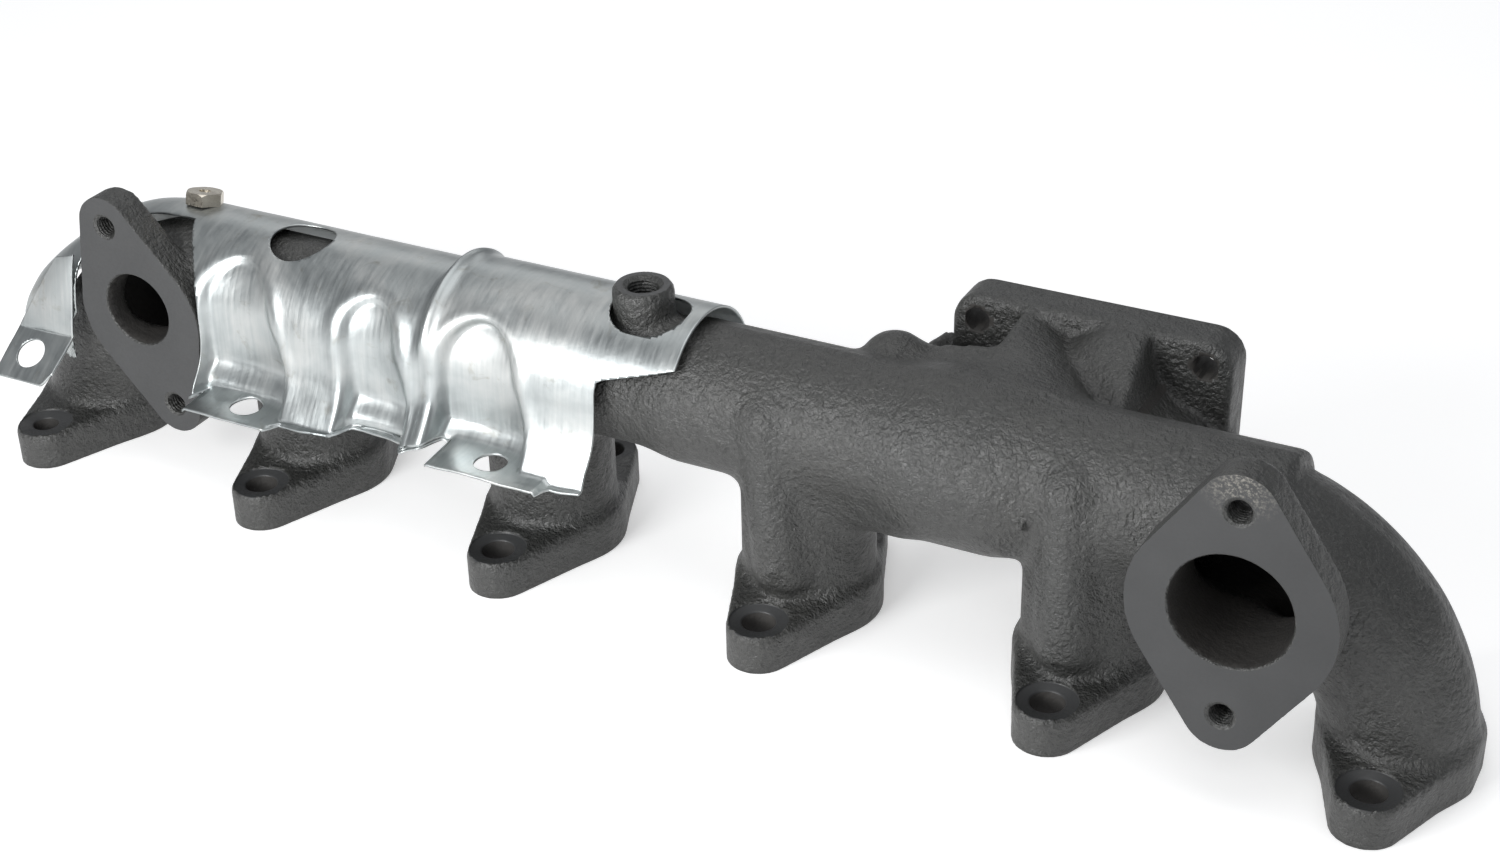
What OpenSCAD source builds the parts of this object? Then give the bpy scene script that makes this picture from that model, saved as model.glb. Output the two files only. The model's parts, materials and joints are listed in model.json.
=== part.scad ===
// Six-port log exhaust manifold for an in-line six-cylinder diesel engine, with its heat shield.
// Frame: the origin is the centre of the port row on the head mating face, +X runs from port 1 to
// port 6, +Y points to the side of the turbocharger flange and +Z points away from the head.

/* [Port row] */
// Distance between neighbouring ports, which is the engine's bore pitch
port_pitch = 120.65; // [118:0.05:124]
// Distance between the two head bolts of a port
bolt_span = 90; // [86:1:96]
// Thickness of a port flange
flange_t = 17; // [14:0.5:20]
// Radius of a port flange round its port
flange_mid_r = 29.5; // [29:0.5:34]
// Radius of a port flange round its bolts
flange_ear_r = 13; // [12:0.5:15]
// Head bolt clearance hole
bolt_hole_d = 13.5; // [12:0.1:15]
// Locating bolt hole at port 1
locating_hole_d = 11; // [10.5:0.1:12]
// Spot face under a bolt head
spot_d = 23.6; // [21:0.1:25]
// Depth of a spot face
spot_depth = 1; // [0.5:0.1:2]

/* [Gas passages] */
// Height of the log's axis above the head
log_z = 85.7; // [82:0.1:90]
// Outer radius of the log between ports 4 and 6
log_r = 30; // [29:0.5:31]
// Outer radius of the log under the shield and of both elbows
elbow_tube_r = 27; // [26:0.5:28]
// Outer radius of a runner
runner_r = 27.6; // [27:0.1:29]
// Radius of the gas passage in a runner of ports 2 to 5
passage_r = 20.5; // [19:0.5:20.5]
// Bend radius of the two end elbows
bend_r = 80; // [76:1:82]
// Casting wall of the log
wall = 6; // [5:0.5:7]

/* [Side outlets] */
// Bolt span of both side outlet flanges
outlet_span = 84; // [82:0.5:88]
// Thickness of a side outlet flange
outlet_t = 15; // [12:1:17]
// Bore of the small outlet, near port 1
small_bore_d = 32.8; // [30:0.1:34]
// Bore of the large outlet, near port 6
large_bore_d = 45.2; // [42:0.1:47]
// Tapping drill of the outlet flange threads
outlet_thread_d = 8.5; // [8.4:0.1:9]
// Lean of the small outlet flange
small_lean = 17; // [10:1:20]

/* [Turbocharger flange] */
// Flange size along the log
turbo_w = 116; // [112:1:120]
// Flange size away from the head
turbo_h = 90; // [88:1:94]
// Flange thickness
turbo_t = 17; // [14:1:20]
// Distance of the mating face from the port row
turbo_face_y = 77; // [74:1:84]
// Bolt spacing along the log
turbo_bolt_w = 94; // [92:0.5:96]
// Bolt spacing away from the head
turbo_bolt_h = 69; // [67:0.5:71]
// Bolt clearance hole
turbo_hole_d = 11; // [10.5:0.1:12]

/* [Sensor boss] */
// Outer diameter of the boss
boss_d = 25; // [23:0.5:27]
// Height of the boss face above the head
boss_top = 127.6; // [124:0.1:130]
// Tapping drill of the sensor thread
sensor_thread_d = 12.5; // [12:0.1:13]

/* [Heat shield] */
// Outer radius of the shield's barrel
shield_r = 35; // [34.5:0.25:36]
// How much lower the barrel lies left of its bead
shield_drop = 4; // [3:0.25:5]
// Sheet thickness
sheet_t = 1; // [0.8:0.1:1.5]
// Right end of the shield
shield_end_x = 16.4; // [12:0.1:20]
// Height of the shield's fixing tabs above the head
tab_z = 56; // [54:0.5:60]
// Stud hole in a fixing tab
tab_hole_d = 14; // [12:0.5:15]

/* [Shield bolts] */
// Thread
shield_bolt_d = 8; // [6:0.5:8]
// Head across flats
head_af = 15; // [13:0.5:17]
// Head height
head_h = 5.5; // [5:0.5:7]

/* [Hidden] */
$fn = 64;
EPS = 0.02;
FIT = 0.1;
outline_steps = 10;
cast_grey = "#3b3d3c";
sheet_grey = "#b9bec0";
bolt_steel = "#a8a08e";

port_x = [for (i = [0 : 5]) (i - 2.5) * port_pitch];
bolt_y = bolt_span / 2;
spot_z = flange_t - spot_depth;
elbow_x = port_x[5] - bend_r;
log_step_x = 258;
log_grow_x = [-12, 10];
elbow_passage_r = elbow_tube_r - 5.5;

small_outlet = [-244.6, -35, 78];
small_bore_rise = 3.3;
small_mid_r = 31.5;
small_ear_r = 13.5;
small_neck_r = 24;
large_outlet = [249.4, -57, 81.6];
large_bore_rise = 1.6;
large_mid_r = 38.3;
large_ear_r = 14.5;
large_neck_r = 28.7;
outlet_chamfer = 1;
bore_end = 8;

turbo_x = 152.9;
turbo_z = 75.2;
turbo_corner_r = 12;
turbo_pocket_r = 21;
turbo_port = [64, 48];
turbo_port_r = 14;
neck_inset = 3;

boss_x = -12;
sensor_chamfer = 1.5;

// Front skirt: the radius to its foot, and where its flare starts
skirt_foot_y = -49;
skirt_turn_z = 80;
rear_skirt_z = 52;
skirt_end_x = -16.6;
skirt_end_z = 99;
shield_end_z = 108;
// Recesses that give a socket room over a head bolt, and a third one between them
pocket_r = 19;
pocket_y = -49.5;
pocket_x = [-192, -120.6, -67.5];
pocket_stretch = [6, 0, 3];
tab_height = [tab_z - 2, tab_z + 2];
tab_left = [-209, -88];
tab_right = [-164, -31];
tab_hole_shift = [-2.5, 0];
tab_front_y = -57;
tab_back_y = -31;
small_notch = [-246.4, 86, 34];
notch_back_y = -7;
access_hole = [-175.6, -4, 14];
boss_slot = [-6.1, -5, 14, 2.5];
bead_x = -97;
bead_r = 3;
bead_sweep = 100;
wing_sweep = 62;
wing_bend_r = 66;
wing_x = wing_bend_r - port_x[5];
wing_skirt = 16;
wing_step = 0.2;
wing_tab = [36, 36];
wing_tab_lean = 36;
wing_tab_at = [-300, -47, 52.6];

// Shield bolts: place along the log, lean from straight up and radius of the sheet's outside there
bolt_x = [-236.5, -40];
bolt_lean = [13, 90];
bolt_seat_r = [shield_r - shield_drop, shield_r];
pad_r = 9;
shank_h = 11;
dimple = [5, 1];

// A two-bolt flange outline: two round ears and a round middle, joined by their common tangents.
// The arcs are stepped, so that the log meets flat faces only.
module two_bolt_outline(mid_r, ear_r, span) {
    tangent = acos((mid_r - ear_r) / (span / 2));
    half = concat(
        [for (i = [0 : outline_steps]) let (t = 180 - tangent - (180 - 2 * tangent) * i / outline_steps)
            mid_r * [sin(t), cos(t)]],
        [for (i = [0 : outline_steps]) let (t = tangent - 2 * tangent * i / outline_steps)
            [0, span / 2] + ear_r * [sin(t), cos(t)]]);
    polygon(concat(half, -half));
}

module rounded_rect(w, h, r) {
    square([w - 2 * r, h], center = true);
    square([w, h - 2 * r], center = true);
    for (x = [-1, 1], z = [-1, 1]) translate([x * (w / 2 - r), z * (h / 2 - r)]) circle(r = r);
}

// A cylinder along X from x0 to x1 about the log's axis, or a cone if r1 is given.
module along_log(x0, x1, r, r1 = undef) {
    translate([x0, 0, log_z]) rotate([0, 90, 0])
        cylinder(h = x1 - x0, r1 = r, r2 = is_undef(r1) ? r : r1);
}

// The quarter bend from the log down to an end port; side is -1 for port 1 and 1 for port 6.
module elbow(side, r) {
    translate([side * elbow_x, 0, log_z - bend_r])
        mirror([side < 0 ? 1 : 0, 0, 0]) rotate([90, 0, 0])
            rotate_extrude(angle = 90) translate([bend_r, 0]) circle(r = r);
}

// Places children with +Z pointing out of an outlet's face and +Y up the flange.
module at_outlet(place, lean) {
    translate(place) rotate([0, -lean, 0]) rotate([90, 0, 0]) children();
}

module outlet_body(place, lean, mid_r, ear_r, neck_r, rise) {
    at_outlet(place, lean) {
        translate([0, 0, -outlet_t]) linear_extrude(outlet_t)
            two_bolt_outline(mid_r, ear_r, outlet_span);
        translate([0, rise, place[1]]) cylinder(h = -place[1] - 2, r = neck_r);
    }
}

module outlet_cuts(place, lean, bore_d, rise) {
    at_outlet(place, lean) {
        translate([0, rise, place[1] + bore_end]) cylinder(h = -place[1] - bore_end + EPS, d = bore_d);
        for (e = [-1, 1]) translate([0, e * outlet_span / 2, -outlet_t - EPS]) {
            cylinder(h = outlet_t + 2 * EPS, d = outlet_thread_d);
            translate([0, 0, outlet_t - outlet_chamfer])
                cylinder(h = outlet_chamfer + 2 * EPS, d1 = outlet_thread_d,
                    d2 = outlet_thread_d + 2 * outlet_chamfer);
        }
    }
}

// Places children with +Z along +Y, at the turbocharger flange's centre, y0 from the port row.
module at_turbo(y0) {
    translate([turbo_x, y0, turbo_z]) rotate([-90, 0, 0]) children();
}

module turbo_bolts() {
    for (x = [-1, 1], z = [-1, 1])
        translate([x * turbo_bolt_w / 2, z * turbo_bolt_h / 2, 0]) children();
}

module turbo_body() {
    at_turbo(turbo_face_y - turbo_t) linear_extrude(turbo_t)
        rounded_rect(turbo_w, turbo_h, turbo_corner_r);
    difference() {
        at_turbo(0) linear_extrude(turbo_face_y - 2)
            rounded_rect(turbo_w - 2 * neck_inset, turbo_h - 2 * neck_inset, turbo_corner_r);
        at_turbo(-EPS) turbo_bolts() cylinder(h = turbo_face_y - turbo_t + EPS, r = turbo_pocket_r);
    }
}

// Places children under the head of shield bolt f, with +Z out along it.
module at_bolt(f) {
    translate([bolt_x[f], 0, log_z]) rotate([-bolt_lean[f], 0, 0])
        translate([0, 0, bolt_seat_r[f]]) children();
}

// Everything that is iron, before the passages and holes are cut.
module casting_body() {
    for (x = port_x) translate([x, 0, 0])
        linear_extrude(flange_t) two_bolt_outline(flange_mid_r, flange_ear_r, bolt_span);
    for (i = [1 : 4]) translate([port_x[i], 0, 1]) cylinder(h = log_z - 1, r = runner_r);
    for (side = [-1, 1]) {
        elbow(side, elbow_tube_r);
        translate([side * port_x[5], 0, 1]) cylinder(h = log_z - bend_r - 1, r = elbow_tube_r);
    }
    along_log(-elbow_x, log_grow_x[0], elbow_tube_r);
    along_log(log_grow_x[0], log_grow_x[1], elbow_tube_r, log_r);
    along_log(log_grow_x[1], log_step_x, log_r);
    outlet_body(small_outlet, small_lean, small_mid_r, small_ear_r, small_neck_r, small_bore_rise);
    outlet_body(large_outlet, 0, large_mid_r, large_ear_r, large_neck_r, large_bore_rise);
    turbo_body();
    translate([boss_x, 0, log_z]) cylinder(h = boss_top - log_z, d = boss_d);
    for (f = [0, 1]) at_bolt(f) translate([0, 0, -bolt_seat_r[f] / 2])
        cylinder(h = bolt_seat_r[f] / 2 - sheet_t, r = pad_r);
}

module gas_passages() {
    for (i = [1 : 4]) translate([port_x[i], 0, -EPS]) cylinder(h = log_z, r = passage_r);
    for (side = [-1, 1]) {
        elbow(side, elbow_passage_r);
        translate([side * port_x[5], 0, -EPS])
            cylinder(h = log_z - bend_r + 2 * EPS, r = elbow_passage_r);
    }
    along_log(-elbow_x - EPS, log_grow_x[1], elbow_tube_r - wall);
    along_log(log_grow_x[1] - EPS, log_step_x - wall, log_r - wall);
    at_turbo(0) linear_extrude(turbo_face_y + EPS)
        rounded_rect(turbo_port[0], turbo_port[1], turbo_port_r);
}

module manifold_casting() {
    color(cast_grey) difference() {
        casting_body();
        gas_passages();
        for (i = [0 : 5], e = [-1, 1]) translate([port_x[i], e * bolt_y, 0]) {
            translate([0, 0, -EPS])
                cylinder(h = flange_t, d = i == 0 ? locating_hole_d : bolt_hole_d);
            translate([0, 0, spot_z]) cylinder(h = spot_depth + EPS, d = spot_d);
        }
        outlet_cuts(small_outlet, small_lean, small_bore_d, small_bore_rise);
        outlet_cuts(large_outlet, 0, large_bore_d, large_bore_rise);
        at_turbo(turbo_face_y - turbo_t - EPS) turbo_bolts()
            cylinder(h = turbo_t + 2 * EPS, d = turbo_hole_d);
        translate([boss_x, 0, log_z]) cylinder(h = boss_top - log_z + EPS, d = sensor_thread_d);
        translate([boss_x, 0, boss_top - sensor_chamfer])
            cylinder(h = sensor_chamfer + EPS, d1 = sensor_thread_d,
                d2 = sensor_thread_d + 2 * sensor_chamfer);
        for (f = [0, 1]) at_bolt(f) translate([0, 0, -shank_h])
            cylinder(h = shank_h + EPS, d = shield_bolt_d + FIT);
    }
}

// The shield's section: a barrel with a skirt down its back and a flared one down its front.
module shield_section(g, drop, low) {
    r = shield_r - g;
    z = log_z - drop;
    translate([0, z]) intersection() {
        circle(r = r);
        translate([-r, 0]) square([2 * r, r]);
    }
    polygon([[r, z], [r, rear_skirt_z - low], [0, rear_skirt_z - low], [0, z]]);
    polygon([[0, z], [-r, z], [-r - 0.5, skirt_turn_z], [skirt_foot_y + g, tab_height[0] - low],
        [0, tab_height[0] - low]]);
}

module along_shield(x0, x1) {
    translate([x0, 0, 0]) rotate([90, 0, 90]) linear_extrude(x1 - x0) children();
}

// The shield's form, shrunk by g all round: the sheet is the form less the shrunk form.
module shield_form(g) {
    low = g > 0 ? 2 : 0;
    step_x = bead_x - bead_r / 2 + g;
    difference() {
        union() {
            along_shield(wing_x, step_x) shield_section(g, shield_drop, low);
            along_shield(step_x - EPS, shield_end_x + low) shield_section(g, 0, low);
            translate([bead_x, 0, log_z]) rotate([0, -90, 0]) rotate([0, 0, -bead_sweep])
                rotate_extrude(angle = 2 * bead_sweep)
                    translate([shield_r - 0.5, 0]) circle(r = bead_r - g);
        }
        for (i = [0 : 2], s = [-1, 1]) translate([pocket_x[i] + s * pocket_stretch[i], pocket_y, 0])
            cylinder(h = log_z + shield_r, r = pocket_r + g);
    }
    // Over the elbow, only the outer half of the bend is covered. It reaches a little way into the
    // barrel, and its radius is a touch smaller, so that the two overlap.
    wr = shield_r - g - wing_step;
    translate([wing_x, 0, log_z - wing_bend_r]) mirror([1, 0, 0]) rotate([90, 0, 0])
        rotate([0, 0, 90 - wing_sweep - low]) rotate_extrude(angle = wing_sweep + low + 1)
            translate([wing_bend_r - shield_drop, 0]) {
                intersection() {
                    circle(r = wr);
                    translate([0, -wr]) square(2 * wr);
                }
                translate([-wing_skirt - low, -wr]) square([wing_skirt + low, 2 * wr]);
            }
}

module shield_cuts() {
    // Window for the small outlet flange
    translate([small_notch[0], notch_back_y, small_notch[1]]) rotate([90, 0, 0])
        cylinder(h = 99, r = small_notch[2]);
    translate([small_notch[0] - small_notch[2], notch_back_y - 99, 0])
        cube([2 * small_notch[2], 99, small_notch[1]]);
    // Sloping lower edge past the end of the skirt
    translate([0, -1, 0]) rotate([90, 0, 0]) linear_extrude(99)
        polygon([[skirt_end_x, 0], [skirt_end_x, skirt_end_z], [shield_end_x, shield_end_z],
            [shield_end_x + 9, shield_end_z], [shield_end_x + 9, 0]]);
    translate([access_hole[0], access_hole[1], log_z]) cylinder(h = 99, r = access_hole[2]);
    for (s = [-1, 1]) translate([boss_slot[0] + s * boss_slot[3], boss_slot[1], log_z])
        cylinder(h = 99, r = boss_slot[2]);
    translate([boss_slot[0] - boss_slot[3], boss_slot[1] - boss_slot[2], log_z])
        cube([2 * boss_slot[3], 2 * boss_slot[2], 99]);
    for (f = [0, 1]) at_bolt(f) translate([0, 0, -2 * sheet_t])
        cylinder(h = 9, d = shield_bolt_d + 1);
}

// The fixing tabs close the feet of the two bolt pockets and of the wing.
module shield_tabs() {
    for (i = [0, 1]) difference() {
        translate([tab_left[i], tab_front_y, tab_height[i]])
            cube([tab_right[i] - tab_left[i], tab_back_y - tab_front_y, sheet_t]);
        translate([port_x[i + 1] + tab_hole_shift[i], -bolt_y, 0])
            cylinder(h = log_z, d = tab_hole_d);
    }
    translate(wing_tab_at) rotate([wing_tab_lean, 0, 0]) difference() {
        translate([-wing_tab[0] / 2, -wing_tab[0] / 2 + 4, 0])
            cube([wing_tab[0], wing_tab[1], sheet_t]);
        translate([0, 0, -1]) cylinder(h = sheet_t + 2, d = tab_hole_d);
    }
}

module heat_shield() {
    color(sheet_grey) {
        difference() {
            shield_form(0);
            shield_form(sheet_t);
            shield_cuts();
        }
        shield_tabs();
    }
}

// A hex-head bolt, dished on top.
module shield_bolt(f) {
    color(bolt_steel) at_bolt(f) difference() {
        union() {
            translate([0, 0, -shank_h]) cylinder(h = shank_h + 1, d = shield_bolt_d);
            intersection() {
                cylinder(h = head_h, d = head_af / cos(30), $fn = 6);
                cylinder(h = head_h, r1 = head_af / 2 + head_h, r2 = head_af / 2 + 0.2);
            }
        }
        translate([0, 0, head_h - dimple[1]]) cylinder(h = dimple[1] + EPS, d = dimple[0]);
    }
}

manifold_casting();
heat_shield();
shield_bolt(0);  // shield_bolt_top
shield_bolt(1);  // shield_bolt_rear
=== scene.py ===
"""Six-port exhaust manifold with its heat shield: the visual model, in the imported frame.

Lengths inside the shape code are in millimetres, and MM turns them into the frame's metres.
"""
import json
import math
import bmesh
import bpy
import numpy as np
from mathutils import Matrix, Vector


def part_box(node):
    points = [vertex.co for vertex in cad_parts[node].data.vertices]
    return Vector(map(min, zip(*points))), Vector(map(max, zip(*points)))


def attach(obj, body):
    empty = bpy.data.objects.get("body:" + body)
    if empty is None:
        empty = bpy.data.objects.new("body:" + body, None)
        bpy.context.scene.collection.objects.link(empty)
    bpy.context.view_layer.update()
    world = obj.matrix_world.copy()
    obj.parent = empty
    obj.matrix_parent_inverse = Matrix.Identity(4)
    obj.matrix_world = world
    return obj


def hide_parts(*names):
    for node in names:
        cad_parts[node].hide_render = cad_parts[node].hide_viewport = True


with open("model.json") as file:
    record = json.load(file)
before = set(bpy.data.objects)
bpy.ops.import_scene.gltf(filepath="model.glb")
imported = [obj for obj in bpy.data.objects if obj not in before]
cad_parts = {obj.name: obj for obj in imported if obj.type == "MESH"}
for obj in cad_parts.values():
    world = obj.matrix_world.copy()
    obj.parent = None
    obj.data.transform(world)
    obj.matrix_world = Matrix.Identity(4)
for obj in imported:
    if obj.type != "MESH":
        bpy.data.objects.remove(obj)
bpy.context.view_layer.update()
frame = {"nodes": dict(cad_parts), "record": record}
MM = 0.001
mounts = {m["name"]: m for m in frame["record"]["mounts"]}


def at(name):
    """A mount's place, in mm."""
    return np.array(mounts[name]["pos_m"]) * 1000


# ---------------------------------------------------------------- places and sizes, in mm
PORT_X = [at(f"port_{i + 1}")[0] for i in range(6)]
BOLT_Y = mounts["head_bolts_port_6"]["dims"]["spacing_y_mm"] / 2
TURBO = at("turbo_bolts")
TURBO_D = mounts["turbo_bolts"]["dims"]
LARGE = at("large_outlet_threads")
LARGE[1] = at("large_outlet")[1]
TURBO_BOLTS = [
    (sx, sz, TURBO + [sx * TURBO_D["spacing_x_mm"] / 2, 0, sz * TURBO_D["spacing_y_mm"] / 2])
    for sx in (-1, 1) for sz in (-1, 1)
]
SMALL = (at("small_outlet_thread_upper") + at("small_outlet_thread_lower")) / 2
SMALL[1] = at("small_outlet")[1]
LEAN = math.radians(17)  # of the small outlet's screws
OUTLET_HALF = 42  # from an outlet's middle to each of its screws
INLET_X, INLET_Z, INLET_R = 18, 10, 14  # half sides of the inlet without its corners, their radius
BOSS_X = at("sensor_boss")[0]
BOSS_R, BOSS_TOP = 12.5, 127.6
LOG_Z = 85.7
BEND_R = 80.0
ELBOW_X = PORT_X[5] - BEND_R
LOG_R, TUBE_R, RUNNER_R = 30.0, 27.0, 27.2
LOG_END = 254.5
FLANGE_T = 17.0
SPOT_Z, SPOT_R = FLANGE_T - 1, 11.8
FAR_ELBOW, PARTING = 2.1, 0.8  # extra radius of the far elbow, step at the parting line
casting_lo, casting_hi = (np.array(v) * 1000 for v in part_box("manifold_casting"))


# ---------------------------------------------------------------- distance grids and their meshes
def ease(x, a, b):
    t = np.clip((x - a) / (b - a), 0, 1)
    return t * t * (3 - 2 * t)


def smin(a, b, k):
    if k <= 0:
        return np.minimum(a, b)
    h = np.maximum(k - np.abs(a - b), 0) / k
    return np.minimum(a, b) - h * h * k / 4


def smax(a, b, k):
    return -smin(-a, -b, k)


def rounded(q, h, r):
    """Distance to the crossing of two half spaces, q and h past them, with a corner of radius r."""
    outside = np.sqrt(np.maximum(q, 0) ** 2 + np.maximum(h, 0) ** 2)
    return outside + np.minimum(np.maximum(q, h), 0) - r


class Grid:
    """Signed distances on a box of points h apart."""

    def __init__(self, lo, hi, h):
        self.lo, self.h = np.array(lo, float), h
        self.n = np.ceil((np.array(hi) - self.lo) / h).astype(int) + 1
        self.d = np.full(self.n, 60.0, np.float32)

    def window(self, lo, hi):
        a = np.clip(np.floor((np.array(lo) - self.lo) / self.h).astype(int), 0, self.n - 1)
        b = np.clip(np.ceil((np.array(hi) - self.lo) / self.h).astype(int) + 1, 1, self.n)
        xyz = [
            (self.lo[i] + self.h * np.arange(a[i], b[i])).astype(np.float32) for i in range(3)
        ]
        x = xyz[0][:, None, None]
        y = xyz[1][None, :, None]
        z = xyz[2][None, None, :]
        return tuple(slice(a[i], b[i]) for i in range(3)), x, y, z

    def add(self, shape, lo, hi, k=0.0):
        pad = k + 3 * self.h
        w, x, y, z = self.window(np.array(lo) - pad, np.array(hi) + pad)
        self.d[w] = smin(self.d[w], shape(x, y, z), k)

    def cut(self, shape, lo, hi, k=0.0):
        pad = k + 3 * self.h
        w, x, y, z = self.window(np.array(lo) - pad, np.array(hi) + pad)
        self.d[w] = smax(self.d[w], -shape(x, y, z), k)

    def fill_diagonals(self):
        """Fills the points where two bodies would only touch along an edge of the mesh."""
        for _ in range(12):
            found = 0
            for u, v in ((0, 1), (1, 2), (0, 2)):
                part = []
                for du, dv in ((0, 0), (1, 0), (0, 1), (1, 1)):
                    sl = [slice(None)] * 3
                    sl[u] = slice(1, None) if du else slice(None, -1)
                    sl[v] = slice(1, None) if dv else slice(None, -1)
                    part.append(self.d[tuple(sl)])
                s = [p < 0 for p in part]
                cross = (s[0] == s[3]) & (s[1] == s[2]) & (s[0] != s[1])
                found += int(cross.sum())
                for p in part:
                    p[cross & (p >= 0)] = -0.05
            if not found:
                break

    def net(self):
        """A closed quad mesh of the zero surface: one vertex in each cell that it crosses."""
        d = self.d
        self.fill_diagonals()
        s = d < 0
        n = np.array(d.shape)
        corners = [(i, j, k) for i in (0, 1) for j in (0, 1) for k in (0, 1)]

        def view(a, c):
            return a[c[0]:n[0] - 1 + c[0], c[1]:n[1] - 1 + c[1], c[2]:n[2] - 1 + c[2]]

        count = sum(view(s, c).astype(np.int8) for c in corners)
        cells = np.argwhere((count > 0) & (count < 8))
        index = np.full(n - 1, -1, np.int64)
        index[tuple(cells.T)] = np.arange(len(cells))
        total = np.zeros((len(cells), 3))
        hits = np.zeros(len(cells))
        for a in corners:
            for axis in range(3):
                if a[axis]:
                    continue
                b = list(a)
                b[axis] = 1
                va = d[tuple((cells + a).T)]
                vb = d[tuple((cells + b).T)]
                cross = (va < 0) != (vb < 0)
                t = np.where(cross, va / np.where(va == vb, 1, va - vb), 0)
                p = np.tile(np.array(a, float), (len(cells), 1))
                p[:, axis] += t
                total += p * cross[:, None]
                hits += cross
        verts = (cells + total / hits[:, None]) * self.h + self.lo
        quads = []
        for axis in range(3):
            u, v = [i for i in range(3) if i != axis]
            hi = [slice(None)] * 3
            lo = [slice(None)] * 3
            hi[axis], lo[axis] = slice(1, None), slice(None, -1)
            change = s[tuple(hi)] != s[tuple(lo)]
            e = np.argwhere(change)
            e = e[(e[:, u] > 0) & (e[:, v] > 0) & (e[:, u] < n[u] - 1) & (e[:, v] < n[v] - 1)]
            ring = []
            for du, dv in ((-1, -1), (0, -1), (0, 0), (-1, 0)):
                c = e.copy()
                c[:, u] += du
                c[:, v] += dv
                ring.append(index[tuple(c.T)])
            q = np.stack(ring, 1)
            inside_low = s[tuple(e.T)]
            flip = inside_low if axis != 1 else ~inside_low
            q[~flip] = q[~flip][:, ::-1]
            quads.append(q)
        return verts, np.vstack(quads)


def relax(verts, quads, rounds=2, share=0.5):
    """Evens the mesh out without shrinking it: smooth, then push back."""
    e = np.vstack([quads[:, [0, 1]], quads[:, [1, 2]], quads[:, [2, 3]], quads[:, [3, 0]]])
    e = np.vstack([e, e[:, ::-1]])
    deg = np.bincount(e[:, 0], minlength=len(verts))[:, None]
    for _ in range(rounds):
        for amount in (share, -share * 1.04):
            mean = np.stack(
                [np.bincount(e[:, 0], verts[e[:, 1], i], len(verts)) for i in range(3)], 1
            ) / deg
            verts = verts + amount * (mean - verts)
    return verts


# ---------------------------------------------------------------- distance shapes, in mm
def tube(a, b, ra, rb=None):
    """A round-ended rod from a to b whose radius goes from ra to rb."""
    a, b = np.array(a, float), np.array(b, float)
    rb = ra if rb is None else rb
    ab = b - a

    def f(x, y, z):
        t = ((x - a[0]) * ab[0] + (y - a[1]) * ab[1] + (z - a[2]) * ab[2]) / (ab @ ab)
        t = np.clip(t, 0, 1)
        return np.sqrt(
            (x - a[0] - t * ab[0]) ** 2 + (y - a[1] - t * ab[1]) ** 2 + (z - a[2] - t * ab[2]) ** 2
        ) - (ra + (rb - ra) * t)

    lo = np.minimum(a, b) - max(ra, rb)
    hi = np.maximum(a, b) + max(ra, rb)
    return f, lo, hi


def rod_z(cx, cy, z0, z1, r, soft=0.0):
    def f(x, y, z):
        q = np.sqrt((x - cx) ** 2 + (y - cy) ** 2) - (r - soft)
        h = np.abs(z - (z0 + z1) / 2) - ((z1 - z0) / 2 - soft)
        return rounded(q, h, soft)

    return f, (cx - r, cy - r, z0), (cx + r, cy + r, z1)


def rod_y(cx, cz, y0, y1, r):
    def f(x, y, z):
        q = np.sqrt((x - cx) ** 2 + (z - cz) ** 2) - r
        return np.maximum(q, np.abs(y - (y0 + y1) / 2) - (y1 - y0) / 2)

    return f, (cx - r, y0, cz - r), (cx + r, y1, cz + r)


def two_bolt(u, v, mid, ear, half):
    """Distance in a plane to a two-bolt outline: a round middle and an ear half away on each side."""
    p, q = np.abs(u), np.abs(v)
    b = (mid - ear) / half
    a = math.sqrt(1 - b * b)
    k = -b * p + a * q
    m1 = np.sqrt(p * p + q * q) - mid
    m2 = np.sqrt(p * p + (q - half) ** 2) - ear
    m3 = a * p + b * q - mid
    return np.where(k < 0, m1, np.where(k > a * half, m2, m3))


def slab(flat, depth, half, soft):
    """A flat outline given thickness, with its edges rounded by soft."""
    return rounded(flat + soft, np.abs(depth) - half + soft, soft)


def outlet_axes(place, lean):
    up = np.array([-math.sin(lean), 0, math.cos(lean)])
    side = np.array([math.cos(lean), 0, math.sin(lean)])
    return np.array(place, float), up, side


def outlet_flange(place, lean, mid, ear, half, thick, soft=2.2):
    p, up, side = outlet_axes(place, lean)

    def f(x, y, z):
        u = (x - p[0]) * side[0] + (z - p[2]) * side[2]
        v = (x - p[0]) * up[0] + (z - p[2]) * up[2]
        flat = two_bolt(u, v, mid, ear, half)
        return slab(flat, y - (p[1] - 3 + thick / 2 + 1.5), thick / 2 + 1.5, soft)

    r = half + ear
    return f, p - [r, 6, r], p + [r, thick, r]


def pipe_offset(x, z):
    """How far outwards of the main pipe's centre line a point lies, seen from the front."""
    ax = np.abs(x)
    cz = LOG_Z - BEND_R
    q = np.sqrt((ax - ELBOW_X) ** 2 + (z - cz) ** 2) - BEND_R
    q = np.where(ax < ELBOW_X, z - LOG_Z, q)
    return np.where((z < cz) & (ax >= ELBOW_X), ax - PORT_X[5], q)


def main_pipe(grow):
    """The pipe from port 1 along the log to port 6; grow is added to its radius."""

    def f(x, y, z):
        q = pipe_offset(x, z)
        fat = FAR_ELBOW * ease(x, 245, 275) - PARTING * ease(y, -1.2, 1.2)
        return np.sqrt(q * q + y * y) - (TUBE_R + grow + (fat if grow == 0 else 0))

    return f, (-PORT_X[5] - 30, -30, 0), (PORT_X[5] + 30, 30, LOG_Z + 30)


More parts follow.
